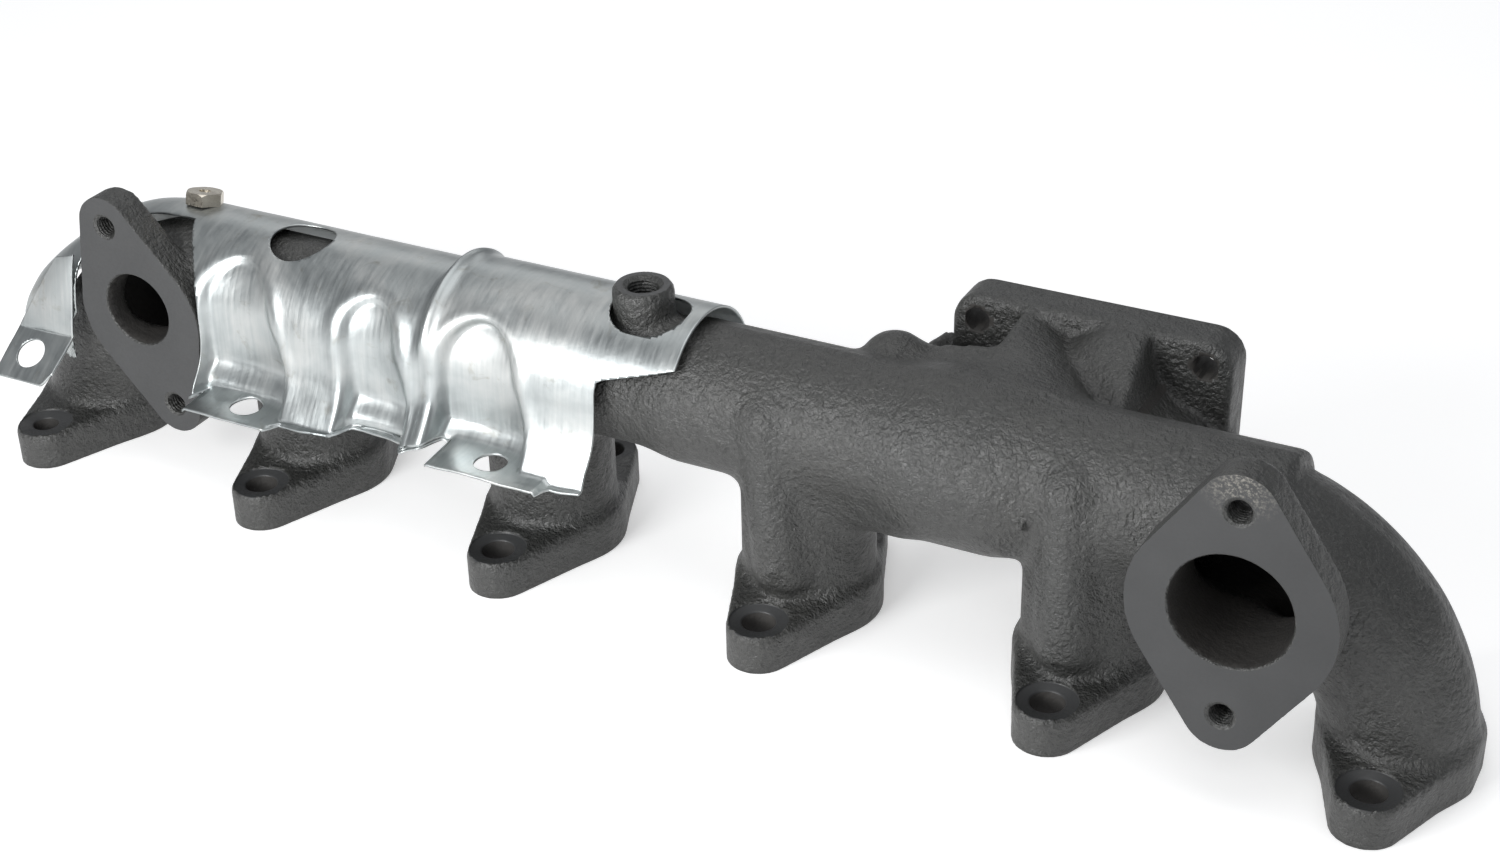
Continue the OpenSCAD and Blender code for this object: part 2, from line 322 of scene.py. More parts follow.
def log_sleeve(x0, x1, x_end, r0, r1, soft):
    """The thicker stretch of the log, growing from r0 at x0 to r1 at x1 and ending at x_end."""

    def f(x, y, z):
        t = np.clip((x - x0) / (x1 - x0), 0, 1)
        t = t * t * (3 - 2 * t) - PARTING / (r1 - r0) * ease(y, 4, 6.5)
        q = np.sqrt(y * y + (z - LOG_Z) ** 2) - (r0 + (r1 - r0) * t) + soft
        h = np.maximum(x - x_end, x0 - 30 - x) + soft
        return rounded(q, h, soft)

    return f, (x0 - 30, -r1, LOG_Z - r1), (x_end, r1, LOG_Z + r1)


# ---------------------------------------------------------------- the iron casting
def casting_body():
    g = Grid(casting_lo - [8, 18, 10], casting_hi + 8, 2.05)
    g.add(*main_pipe(0))
    g.add(*log_sleeve(-12, 12, LOG_END, TUBE_R - 0.2, LOG_R, 3), k=1.5)
    for x in PORT_X[1:3]:
        g.add(*rod_z(x, 0, -4, LOG_Z, RUNNER_R - 0.6), k=6)
    for x in PORT_X[3:5]:
        g.add(*rod_z(x, 0, -4, LOG_Z, RUNNER_R), k=7)
    # Swelling of the log between runners 4 and 5, and the arch that it makes beside runner 4
    g.add(*tube((121, 2, 82), (141, 2, 82), 34.6), k=6)
    g.add(*tube((78, 0, 65), (102, 0, 64), 21, 20), k=8)
    # Ribs on the fronts of runners 4 and 5, up over the log
    g.add(*tube((53, -19.5, 91), (60.5, -21.2, 28), 12.6), k=3.5)
    g.add(*tube((178, -19.5, 92), (179.5, -21.2, 28), 13.2), k=3.5)
    # Hump behind the log
    g.add(*tube((86, 25, 101), (88, 27, 96), 14.5), k=5)
    for x in (PORT_X[0], PORT_X[5]):
        g.add(*rod_z(x, 0, -4, 12, TUBE_R), k=4)
    # Web between the large outlet's neck and the elbow
    g.add(*tube((262, -14, 84), (292, -6, 56), 17, 19), k=10)

    turbo = Grid((20, 5, 20), (235, 70, 135), g.h)
    turbo.add(*tube((100, 12, 84), (121, 62, 83), 25, 32.5))
    turbo.add(*tube((158, -2, 88), (119, 58, 85), 27.5, 32.5), k=8)
    turbo.add(*tube((214, 14, 75), (172, 62, 82), 27, 38), k=3)
    turbo.add(*tube((116, 40, 62), (TURBO[0] - 8, 64, 62), 25, 31), k=12)
    turbo.add(*tube((190, 40, 60), (TURBO[0] + 10, 64, 62), 25, 32), k=16)
    for sx, sz, c in TURBO_BOLTS:
        y0 = 34 if sx < 0 else 18
        turbo.cut(*rod_y(c[0], c[2], y0 if sz > 0 else 0, 90, 20), k=1.2)
    turbo.cut(*rod_y(228.7, 132, 22, 90, 53), k=1.2)
    w, *_ = g.window(turbo.lo, turbo.lo + turbo.h * (turbo.n - 1))
    # The two grids share their spacing; the neck's is resampled onto the casting's points.
    xs, ys, zs = ((g.lo[i] + g.h * np.arange(w[i].start, w[i].stop)) for i in range(3))
    ix = np.clip((xs - turbo.lo[0]) / turbo.h, 0, turbo.n[0] - 1.001)
    iy = np.clip((ys - turbo.lo[1]) / turbo.h, 0, turbo.n[1] - 1.001)
    iz = np.clip((zs - turbo.lo[2]) / turbo.h, 0, turbo.n[2] - 1.001)
    d = turbo.d
    for axis, pos in enumerate((ix, iy, iz)):
        i0 = pos.astype(int)
        t = (pos - i0).reshape([-1 if a == axis else 1 for a in range(3)]).astype(np.float32)
        d = np.take(d, i0, axis) * (1 - t) + np.take(d, i0 + 1, axis) * t
    g.d[w] = smin(g.d[w], d, 5.5)

    # Turbocharger flange
    tw, th, tr = 58, 45, 12
    y0, y1 = TURBO[1] - 17, TURBO[1] + 3

    def turbo_flange(x, y, z):
        u = np.abs(x - TURBO[0]) - (tw - tr)
        v = np.abs(z - TURBO[2]) - (th - tr)
        return slab(rounded(u, v, tr), y - (y0 + y1) / 2, (y1 - y0) / 2, 2.6)

    g.add(turbo_flange, TURBO - [tw, 17, th], TURBO + [tw, 3, th], k=2.5)

    # Side outlets
    for place, lean, mid, ear, neck, rise in (
        (SMALL, LEAN, 31.5, 13.5, 23.5, 3.3),
        (LARGE, 0, 38.3, 14.5, 28.7, 1.6),
    ):
        p, up, _ = outlet_axes(place, lean)
        c = p + rise * up
        g.add(*tube(c + [0, 16, 0], [c[0], -8, c[2] * 0.6 + LOG_Z * 0.4 - 2], neck, neck), k=7)
        g.add(*outlet_flange(p, lean, mid, ear, OUTLET_HALF, 15), k=4.5)

    # Port flanges
    for x in PORT_X:
        def flange(X, Y, Z, x=x):
            return slab(two_bolt(X - x, Y, 29.5, 13, BOLT_Y), Z - 6.5, 10.5, 2.2)

        g.add(flange, (x - 30, -58, -4), (x + 30, 58, FLANGE_T), k=6)

    # Sensor boss, with a chamfered rim
    def boss(x, y, z):
        q = np.sqrt((x - BOSS_X) ** 2 + y * y)
        chamfer = (q + z) * 0.7071 - (BOSS_R + BOSS_TOP - 1.6) * 0.7071
        return np.maximum(np.maximum(q - BOSS_R, z - BOSS_TOP - 3), chamfer)

    g.add(boss, (BOSS_X - 13, -13, LOG_Z), (BOSS_X + 13, 13, BOSS_TOP), k=5)
    # Bolt pads under the shield
    for bolt in ("shield_bolt_top", "shield_bolt_rear"):
        lo, hi = (np.array(v) * 1000 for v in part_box(bolt))
        c = (lo + hi) / 2
        c_in = np.array([c[0], 0, LOG_Z])
        out = c - c_in
        out /= np.linalg.norm(out)
        seat = c_in + out * (27.8 if bolt.endswith("top") else 33)
        g.add(*tube(c_in, seat - out * 5, 6, 7), k=4)
    # Nothing stands out past the CAD casting's two ends
    _, x, *_ = g.window(g.lo, g.lo + g.h * (g.n - 1))
    g.d = np.maximum(g.d, np.abs(x) - (casting_hi[0] - 0.2))
    # Small round nubs on the front
    for p in ((38.1, -29.7, 80.7), (162, -32.2, 80), (60, -33.4, 32.4)):
        g.add(*tube(p, np.array(p) * [1, 0.96, 1], 2.2), k=1.5)
    return g


def mesh_object(name, verts, faces, smooth=True):
    """An object from points in mm; a closed surface comes out with its faces turned outwards."""
    verts = np.asarray(verts, float)
    faces = [list(map(int, f)) for f in faces]
    fan = np.array([(f[0], f[i], f[i + 1]) for f in faces for i in range(1, len(f) - 1)])
    v = verts - verts.mean(0)
    volume = np.einsum("ij,ij->i", v[fan[:, 0]], np.cross(v[fan[:, 1]], v[fan[:, 2]])).sum()
    if volume < 0:
        faces = [f[::-1] for f in faces]
    me = bpy.data.meshes.new(name)
    me.from_pydata((verts * MM).tolist(), [], faces)
    if smooth:
        me.polygons.foreach_set("use_smooth", [True] * len(me.polygons))
    me.update()
    o = bpy.data.objects.new(name, me)
    bpy.context.scene.collection.objects.link(o)
    return o


def lathe(name, profile, origin, axis, around=64, wave=None):
    """A closed solid turned about axis from (distance along it, radius) pairs. The first and last
    radii are its end discs. wave(t, angle, r) may change a radius, for threads."""
    axis = Vector(axis).normalized()
    rot = axis.to_track_quat("Z", "Y").to_matrix()
    verts, faces = [], []
    n = around
    for t, r in profile:
        for i in range(n):
            a = 2 * math.pi * i / n
            rr = wave(t, a, r) if wave else r
            verts.append(np.array(rot @ Vector((rr * math.cos(a), rr * math.sin(a), t))) + origin)
    for k in range(len(profile) - 1):
        for i in range(n):
            j = (i + 1) % n
            faces.append((k * n + i, k * n + j, (k + 1) * n + j, (k + 1) * n + i))
    faces.append(tuple(range(n))[::-1])
    faces.append(tuple((len(profile) - 1) * n + i for i in range(n)))
    return mesh_object(name, verts, faces, smooth=False)


def box_object(name, lo, hi):
    x0, y0, z0 = lo
    x1, y1, z1 = hi
    v = [(x, y, z) for x in (x0, x1) for y in (y0, y1) for z in (z0, z1)]
    f = [(0, 1, 3, 2), (4, 6, 7, 5), (0, 4, 5, 1), (2, 3, 7, 6), (0, 2, 6, 4), (1, 5, 7, 3)]
    return mesh_object(name, v, f, smooth=False)


def subtract(target, cutters, solver="MANIFOLD"):
    """Cuts a list of closed solids that don't touch each other from target, and removes them."""
    bpy.ops.object.select_all(action="DESELECT")
    for c in cutters:
        c.select_set(True)
    bpy.context.view_layer.objects.active = cutters[0]
    if len(cutters) > 1:
        bpy.ops.object.join()
    cutter = bpy.context.view_layer.objects.active
    combine(target, cutter, "DIFFERENCE", solver)


def combine(target, other, operation, solver="MANIFOLD"):
    m = target.modifiers.new("combine", "BOOLEAN")
    m.operation, m.object, m.solver = operation, other, solver
    dg = bpy.context.evaluated_depsgraph_get()
    me = bpy.data.meshes.new_from_object(target.evaluated_get(dg))
    if len(me.polygons) == 0 and solver != "EXACT":
        target.modifiers.clear()
        return combine(target, other, operation, "EXACT")
    target.modifiers.clear()
    old = target.data
    target.data = me
    me.name = old.name
    bpy.data.meshes.remove(old)
    bpy.data.objects.remove(other)


def thread_cutter(name, origin, axis, length, minor_r, pitch, chamfer=0.9):
    """A tapped hole's cutter, from its mouth at origin inwards, against axis."""
    deep = 0.54 * pitch
    step = pitch / 5
    n = int(length / step)
    profile = [(1.0, minor_r + deep + chamfer + 0.2), (0.0, minor_r + deep + chamfer)]
    profile += [(-chamfer, minor_r + deep)]
    profile += [(-chamfer - 0.05 - i * step, minor_r) for i in range(n)]

    def wave(t, a, r):
        if t > -chamfer - 0.01:
            return r
        phase = (t / pitch - a / (2 * math.pi)) % 1.0
        return r + deep * (1 - abs(2 * phase - 1))

    return lathe(name, profile[::-1], np.array(origin, float), axis, 40, wave)


def passages():
    """The gas passages as one closed surface."""
    h = 2.6
    g = Grid(casting_lo - [12, 12, 16], casting_hi + [12, 12, 12], h)
    g.add(*main_pipe(-5.5))
    for x in (PORT_X[0], PORT_X[5]):
        g.add(*rod_z(x, 0, -12, 12, 21.5), k=2)
    g.add(*tube((14, 0, LOG_Z), (236, 0, LOG_Z), 23.5), k=6)
    for x in PORT_X[1:5]:
        g.add(*rod_z(x, 0, -12, LOG_Z, 20.5), k=10)
    for name, depth in (("small_outlet", 30), ("large_outlet", 50)):
        p = at(name)
        r = mounts[name]["dims"]["r_mm"]
        g.add(*rod_y(p[0], p[2], p[1] - 12, p[1] + depth, r), k=5)

    def inlet(x, y, z):
        u = np.abs(x - TURBO[0]) - INLET_X
        v = np.abs(z - TURBO[2]) - INLET_Z
        return np.maximum(rounded(u, v, INLET_R), np.abs(y - 45) - 45)

    g.add(inlet, TURBO - [32, 77, 24], TURBO + [32, 13, 24], k=8)
    v, q = g.net()
    return mesh_object("passage_cutter", relax(v, q, 3), q)


def bore_cutter(centre, axis, r, edge):
    """Trues a bore behind its machined face and breaks its rim by edge."""
    profile = [(-9, r - 0.2), (-edge, r), (0, r + edge), (3, r + (3 + edge))]
    return lathe("cut", profile, centre, axis, 96)


def build_casting():
    v, q = casting_body().net()
    body = mesh_object("casting_body", relax(v, q, 2), q)
    # Machined planes
    cuts = [
        box_object("cut", (-340, -80, -30), (340, 100, 0)),
        box_object("cut", (200, LARGE[1] - 30, 20), (310, LARGE[1], 160)),
        box_object("cut", (-310, SMALL[1] - 40, 20), (-195, SMALL[1], 160)),
        box_object("cut", (80, TURBO[1], 20), (225, TURBO[1] + 30, 160)),
        box_object("cut", (BOSS_X - 16, -16, BOSS_TOP), (BOSS_X + 16, 16, BOSS_TOP + 20)),
    ]
    subtract(body, cuts)
    subtract(body, [passages()])
    # Crisp bores at the machined faces, with a small edge break
    cuts = []
    for name in ("small_outlet", "large_outlet"):
        cuts.append(bore_cutter(at(name), (0, -1, 0), mounts[name]["dims"]["r_mm"], 0.7))
    for i, x in enumerate(PORT_X):
        r = mounts[f"port_{i + 1}"]["dims"]["r_mm"]
        cuts.append(bore_cutter(np.array([x, 0, 0]), (0, 0, -1), r, 0.8))
    subtract(body, cuts)
    # Turbocharger inlet, rounded rectangle with a small edge break
    loop = []
    for sx, sz, a0 in ((1, 1, 0), (-1, 1, 90), (-1, -1, 180), (1, -1, 270)):
        for i in range(9):
            a = math.radians(a0 + 90 * i / 8)
            loop.append((sx * INLET_X, sz * INLET_Z, math.cos(a), math.sin(a)))
    verts, n = [], len(loop)
    for y, grow in ((62, -0.2), (76.2, 0), (77, 0.8), (80, 3.8)):
        for cx, cz, c, s in loop:
            r = INLET_R + grow
            verts.append((TURBO[0] + cx + r * c, y, TURBO[2] + cz + r * s))
    faces = [
        (k * n + i, (k + 1) * n + i, (k + 1) * n + (i + 1) % n, k * n + (i + 1) % n)
        for k in range(3) for i in range(n)
    ]
    faces += [tuple(range(n)), tuple(3 * n + i for i in range(n))[::-1]]
    subtract(body, [mesh_object("cut", verts, faces, smooth=False)])
    # Bolt holes and spot faces
    cuts = []
    for i, x in enumerate(PORT_X):
        r = mounts["head_bolts_port_1" if i == 0 else "head_bolts_port_6"]["dims"]["hole_r_mm"]
        profile = [(-3, r), (SPOT_Z - 0.6, r), (SPOT_Z, r + 0.6), (SPOT_Z + 0.01, SPOT_R - 0.3)]
        profile += [(SPOT_Z + rise, SPOT_R) for rise in (0.3, 1.2, 9)]
        for e in (-1, 1):
            cuts.append(lathe("cut", profile, np.array([x, e * BOLT_Y, 0]), (0, 0, 1), 64))
    r = TURBO_D["hole_r_mm"]
    profile = [(-22, r), (-17, r - 0.3), (-0.6, r - 0.3), (0.0, r + 0.3), (3, r + 3.3)]
    for *_, c in TURBO_BOLTS:
        cuts.append(lathe("cut", profile, c, (0, 1, 0), 48))
    subtract(body, cuts)
    # Threads
    cuts = []
    for p, lean in ((SMALL, LEAN), (LARGE, 0)):
        p0, up, _ = outlet_axes(p, lean)
        for e in (-OUTLET_HALF, OUTLET_HALF):
            cuts.append(thread_cutter("cut", p0 + up * e, (0, -1, 0), 18, 4.25, 1.5))
    cuts.append(thread_cutter("cut", (BOSS_X, 0, BOSS_TOP), (0, 0, 1), 26, 6.1, 1.5, 1.4))
    subtract(body, cuts)
    body.name = "casting_visual"
    return body


# ---------------------------------------------------------------- the heat shield
SHEET_R, SHEET_T, DROP = 35.0, 1.0, 4.0
WING_X, WING_R, WING_SWEEP = -235.6, 66.0, 62.0
BEAD_X = -97.0
END_X = 16.4
WINDOW_X, WINDOW_Z, WINDOW_R = -246.4, 86, 34
SLOT_X, SLOT_Y, SLOT_R, SLOT_HALF = -6.1, -5, 14, 2.5
STUD_R = 7
# each recess: middle, half width and arch height at its top; middle and half width at its foot
POCKETS = [(-194, 18, 111, -189, 24), (-126, 14, 108, -121, 17), (-72, 18, 110, -69.5, 23.5)]
# each level tab: its left and right ends and its height
TABS = [(-208.0, -165.0, 54.4), (-84.5, -31.5, 58.4)]


def ripple(x, y, seed, scale):
    """Smooth repeatable unevenness between about -1 and 1."""
    s = 0
    waves = ((1.0, 0.6, 0.0), (-0.7, 1.3, 1.7), (1.9, -1.1, 4.1), (0.4, 2.3, 2.6))
    for i, (a, b, c) in enumerate(waves):
        s = s + np.sin((a * x + b * y) / scale + c + seed * (i + 1.3)) / (1 + 0.35 * i)
    return s / 2.4


def shield_sheet():
    """The sheet's outer face as a grid: along its length (s) and round its section (v)."""
    ds = 1.25
    wing_len = math.radians(WING_SWEEP) * (WING_R + 8)
    s = np.arange(-wing_len, END_X - WING_X + ds / 2, ds)
    s[-1] = END_X - WING_X
    dv = 1.25
    rear = np.arange(0, 30, dv)
    arc = np.linspace(0, math.pi, int(math.pi * SHEET_R / dv))
    front = np.arange(dv, 33 + dv, dv)
    lip = np.arange(dv, 30 + dv, dv)
    rows = len(rear) + len(arc) + len(front) + len(lip)
    P = np.zeros((len(s), rows, 3))
    for i, si in enumerate(s):
        x = WING_X + max(si, 0)
        wing = si < 0
        ang = max(-si, 0) / (WING_R + 8)
        drop = DROP * (1 - ease(x, BEAD_X - 4.5, BEAD_X + 1.5))
        bead = math.exp(-((x - BEAD_X) / 3.0) ** 2)
        zc = LOG_Z - drop
        # lower end of the front skirt, and how far the lip reaches out from there
        foot = 52.5
        reach = 2.4 + 0.8 * math.sin(x / 6.5)
        for a, b, z in TABS:
            inside = ease(x, a - 1.2, a + 1.2) * (1 - ease(x, b - 1.2, b + 1.2))
            foot = foot + (z - foot) * inside
            reach = reach + (30 - reach) * inside
        foot += 5.0 * ease(x, -108, -92) * (1 - ease(x, -86, -83))
        reach *= 1 - 0.9 * ease(x, -108, -98) * (1 - ease(x, -88, -83))
        if x > -31 and not wing:
            foot = 56.0 + 0.8 * ease(x, -28, -17)
        pts = []
        for r in rear:
            pts.append((SHEET_R, zc - rear[-1] - dv + r))
        for a in arc:
            lift = 2.6 * bead * ease(a, 0.35, 0.8) * (1 - ease(a, 2.75, 3.05))
            r = SHEET_R + lift
            pts.append((r * math.cos(a), zc + r * math.sin(a)))
        n_f = len(front)
        for k in range(n_f):
            t = (k + 1) / n_f
            z = zc - (zc - foot) * t
            flare = 1.2 * ease(zc - z, 0, 12) + 12.5 * ease(zc - z, 6, 34) ** 1.25
            pts.append((-SHEET_R - flare, z))
        section = np.array(pts)
        # recesses over the head bolts
        if not wing:
            for cx0, half0, top, cx1, half1 in POCKETS:
                low = ease(section[:, 1], top - 8, 56)
                cx, half = cx0 + (cx1 - cx0) * low, half0 + (half1 - half0) * low
                u = np.abs(x - cx)
                v = section[:, 1] - (top - half)
                sd = np.where(v > 0, np.sqrt(u * u + v * v) - half, u - half)
                mask = 1 - ease(sd, -4.4, 0.8)
                rise = np.maximum(section[:, 1] - LOG_Z, 0)
                floor = -np.sqrt(np.maximum(29.8 ** 2 - rise ** 2, 1))
                floor = floor - 2.2 * np.clip(u / half, 0, 1) ** 2
                floor = floor - 6.5 * ease(section[:, 1], 68, 55) ** 2
                want = np.maximum(section[:, 0], floor)
                front_side = section[:, 0] < 0
                section[:, 0] = np.where(
                    front_side, section[:, 0] + (want - section[:, 0]) * mask, section[:, 0]
                )
                # pressed rim: the sheet stands a little proud round a recess
                rim = np.exp(-((sd - 3.2) / 2.4) ** 2) * ease(section[:, 1], 62, 84)
                section[:, 0] -= 0.7 * rim * front_side
        base_y, base_z = section[-1]
        lips = []
        for k in range(len(lip)):
            t = (k + 1) / len(lip)
            out = -SHEET_R - 22.5
            target = max(reach, 0.1)
            if reach > 10:
                y = base_y + (out - base_y) * t
            else:
                y = base_y - target * t
            bend = 1.2 * (1 - math.exp(-t * 9))
            lips.append((y, base_z - bend * (reach > 10) - 0.25 * t * (reach <= 10)))
        section = np.vstack([section, lips])
        if wing:
            # a short skirt on both sides, then nothing
            c, sn = math.cos(ang), math.sin(ang)
            n_rear, n_arc = len(rear), len(arc)
            square = 1 - 0.58 * ease(ang, 0.05, 0.95)
            skirt = 16 - 13 * ease(ang, 0.35, 0.8)
            for k in range(rows):
                if k < n_rear:
                    y, n = SHEET_R, -16 * (n_rear - k) / n_rear
                elif k < n_rear + n_arc:
                    a = arc[k - n_rear]
                    y = SHEET_R * math.copysign(abs(math.cos(a)) ** square, math.cos(a))
                    n = SHEET_R * math.sin(a) ** square
                else:
                    t = (k - n_rear - n_arc + 1) / (rows - n_rear - n_arc)
                    y, n = -SHEET_R, -skirt * t
                rad = WING_R - DROP + n
                P[i, k] = (WING_X - rad * sn, y, LOG_Z - WING_R + rad * c)
        else:
            P[i, :, 0] = x
            P[i, :, 1] = section[:, 0]
            P[i, :, 2] = section[:, 1]
    # The change from skirted section to the wing's is spread over the first stretch of the barrel.
    z0 = np.where(s >= 0)[0][0]
    blend = ease(s, 0, 16)
    ref = P[z0 - 1].copy()
    for i in range(z0, len(s)):
        if blend[i] >= 1:
            break
        b = blend[i]
        flat = ref.copy()
        flat[:, 0] = P[i, :, 0]
        P[i] = flat * (1 - b) + P[i] * b
    # hand-pressed unevenness, strongest at the feet and the free ends
    S, V = np.meshgrid(s, np.arange(rows) * dv, indexing="ij")
    du = np.gradient(P, axis=0)
    dvv = np.gradient(P, axis=1)
    nrm = np.cross(du, dvv)
    nrm /= np.maximum(np.linalg.norm(nrm, axis=2, keepdims=True), 1e-9)
    outward = nrm[len(s) // 2, len(rear) + len(arc) // 2, 2]
    nrm *= 1 if outward > 0 else -1
    low = 1 - ease(P[..., 2], 56, 84)
    left = 1 - ease(S, -wing_len, 10)
    amount = 0.10 + 0.45 * low + 0.35 * left
    P += nrm * (amount * (0.6 * ripple(S, V, 0.3, 11.0) + 0.4 * ripple(S, V, 2.1, 4.3)))[..., None]
    return P


def thick_sheet(name, P, thick):
    """A closed solid from a grid of points on its outer face, thick inwards."""
    n, m = P.shape[:2]
    du, dv = np.gradient(P, axis=0), np.gradient(P, axis=1)
    nrm = np.cross(du, dv)
    nrm /= np.maximum(np.linalg.norm(nrm, axis=2, keepdims=True), 1e-9)
    mid = P[n // 2, m // 3]
    turn = (nrm[n // 2, m // 3] @ (mid - np.array([mid[0], 0, 60]))) < 0
    if turn:
        nrm = -nrm
    Q = P - nrm * thick
    verts = np.vstack([P.reshape(-1, 3), Q.reshape(-1, 3)])
    idx = np.arange(n * m).reshape(n, m)
    a, b, c, d = idx[:-1, :-1], idx[1:, :-1], idx[1:, 1:], idx[:-1, 1:]
    outer = np.stack([a, b, c, d], -1).reshape(-1, 4)
    inner = np.stack([a, d, c, b], -1).reshape(-1, 4) + n * m
    rim = []
    for line in (idx[:, 0], idx[::-1, -1], idx[0, ::-1], idx[-1, :]):
        rim.append(np.stack([line[:-1], line[:-1] + n * m, line[1:] + n * m, line[1:]], -1))
    faces = np.vstack([outer, inner] + [r.reshape(-1, 4) for r in rim])
    if turn:
        faces = faces[:, ::-1]
    return mesh_object(name, verts, faces)


def prism(name, outline, lo, hi, place):
    """A closed solid from a flat outline; place(u, v, w) gives a point in mm."""
    n = len(outline)
    verts = [place(u, v, lo) for u, v in outline] + [place(u, v, hi) for u, v in outline]
    faces = [(i, (i + 1) % n, n + (i + 1) % n, n + i) for i in range(n)]
    faces += [tuple(range(n))[::-1], tuple(range(n, 2 * n))]
    return mesh_object(name, verts, faces, smooth=False)


def fix_normals(o):
    bm = bmesh.new()
    bm.from_mesh(o.data)
    bmesh.ops.recalc_face_normals(bm, faces=bm.faces)
    bm.to_mesh(o.data)
    bm.free()


def build_shield():
    sheet = thick_sheet("shield_sheet", shield_sheet(), SHEET_T)
    fix_normals(sheet)
    cuts = []
    # window for the small outlet flange
    ring = [
        (WINDOW_X + WINDOW_R * math.cos(t), WINDOW_Z + WINDOW_R * math.sin(t))
        for t in np.linspace(0, math.pi, 49)
    ]
    ring += [(-281.4, 72), (-287, 64), (-287, 20), (-212.4, 20)]
    cuts.append(prism("cut", ring, -99, -7, lambda u, v, w: (u, w, v)))
    # sloping lower edge right of the skirt
    slope = [(-16.6, 20), (26, 20), (26, 108.5), (16.4, 108), (-13.5, 99.6), (-16.2, 98), (-16.6, 95)]
    cuts.append(prism("cut", slope, -99, -1, lambda u, v, w: (u, w, v)))
    # access hole and the boss slot
    cuts.append(lathe("cut", [(0, 14), (60, 14)], np.array([-175.6, -4, LOG_Z]), (0, 0, 1), 72))
    slot = []
    for shift, start in ((SLOT_HALF, -math.pi / 2), (-SLOT_HALF, math.pi / 2)):
        slot += [
            (SLOT_X + shift + SLOT_R * math.cos(t), SLOT_Y + SLOT_R * math.sin(t))
            for t in np.linspace(start, start + math.pi, 33)
        ]
    cuts.append(prism("cut", slot, LOG_Z, 150, lambda u, v, w: (u, v, w)))
    # stud holes of the two level tabs
    for name in ("shield_tab_port_2", "shield_tab_port_3"):
        cuts.append(lathe("cut", [(-8, STUD_R), (8, STUD_R)], at(name), (0, 0, 1), 56))
    for c in cuts:
        fix_normals(c)
    subtract(sheet, cuts)

    # the wing's end tab: a strip that folds from the wing's front towards the viewer
    p = at("shield_tab_port_1")
    nrm = np.array(mounts["shield_tab_port_1"]["axis"], float)
    along = np.array([1.0, 0, 0])
    down = np.cross(along, nrm)
    if down[2] > 0:
        down = -down
    us = np.linspace(0, 1, 41)
    vs = np.linspace(0, 1, 61)
    G = np.zeros((len(us), len(vs), 3))
    for i, u in enumerate(us):
        for k, v in enumerate(vs):
            # v from the top of the strip, high on the wing, down to the tab's free edge
            if v < 0.55:
                t = v / 0.55
                left = np.array([-289 - 17 * t, -33.6 - 1.6 * t, 97 - 22 * t])
                right = np.array([-279 - 3.5 * t, -33.6 - 1.6 * t, 100 - 20 * t])
                top = left * (1 - u) + right * u
                fold = p - down * 11.5 + along * (-13.5 + 32 * u) + nrm * (0.5 + 2.5 * u)
                w = ease(t, 0.25, 1.0)
                q = top * (1 - w) + fold * w
                q = q + np.array([0, -1.2, 0]) * math.sin(math.pi * t) * math.sin(math.pi * u)
            else:
                t = (v - 0.55) / 0.45
                corner = 0.9 * ease(u, 0.8, 1.0) * t
                rise = 0.5 + 2.2 * u * u * (1 - t) + 3.2 * corner
                q = p + down * (-11.5 + 25 * t - 6 * corner) + along * (-13.5 + 32 * u) + nrm * rise
            G[i, k] = q
    U, V = np.meshgrid(us * 36, vs * 70, indexing="ij")
    G += np.array([0, -0.8, 0.4]) * (0.35 * ripple(U, V, 0.9, 6.0) * ease(V, 0, 20))[..., None]
    strip = thick_sheet("shield_strip", G, SHEET_T)
    fix_normals(strip)
    hole = lathe("cut", [(-9, STUD_R), (9, STUD_R)], p, nrm, 56)
    fix_normals(hole)
    subtract(strip, [hole])
    combine(sheet, strip, "UNION")
    sheet.name = "shield_visual"
    return sheet


# ---------------------------------------------------------------- materials
def material(name):
    m = bpy.data.materials.new(name)
    m.use_nodes = True
    nt = m.node_tree
    for n in list(nt.nodes):
        nt.nodes.remove(n)
    out = nt.nodes.new("ShaderNodeOutputMaterial")
    bsdf = nt.nodes.new("ShaderNodeBsdfPrincipled")
    nt.links.new(bsdf.outputs[0], out.inputs[0])
    return m, nt, bsdf


def coords(nt, scale=(1, 1, 1)):
    tc = nt.nodes.new("ShaderNodeTexCoord")
    mp = nt.nodes.new("ShaderNodeMapping")
    mp.inputs["Scale"].default_value = scale
    nt.links.new(tc.outputs["Object"], mp.inputs[0])
    return mp.outputs[0]


def noise(nt, vec, scale, detail=3, rough=0.55, distort=0.0):
    n = nt.nodes.new("ShaderNodeTexNoise")
    n.inputs["Scale"].default_value = scale
    n.inputs["Detail"].default_value = detail
    n.inputs["Roughness"].default_value = rough
    n.inputs["Distortion"].default_value = distort
    nt.links.new(vec, n.inputs["Vector"])
    return n.outputs["Fac"]


def ramp(nt, fac, stops):
    r = nt.nodes.new("ShaderNodeValToRGB")
    cr = r.color_ramp
    while len(cr.elements) < len(stops):
        cr.elements.new(0.5)
    for e, (pos, col) in zip(cr.elements, stops):
        e.position = pos
        e.color = (*col, 1) if len(col) == 3 else col
    nt.links.new(fac, r.inputs[0])
    return r.outputs[0]


def spread(nt, fac, a, b, lo=0.0, hi=1.0):
    m = nt.nodes.new("ShaderNodeMapRange")
    m.inputs[1].default_value, m.inputs[2].default_value = lo, hi
    m.inputs[3].default_value, m.inputs[4].default_value = a, b
    nt.links.new(fac, m.inputs[0])
    return m.outputs[0]


def feed(nt, socket, value):
    """Sets a socket to a number or a colour, or links it to another node's output."""
    if isinstance(value, (int, float, tuple)):
        socket.default_value = value
    else:
        nt.links.new(value, socket)


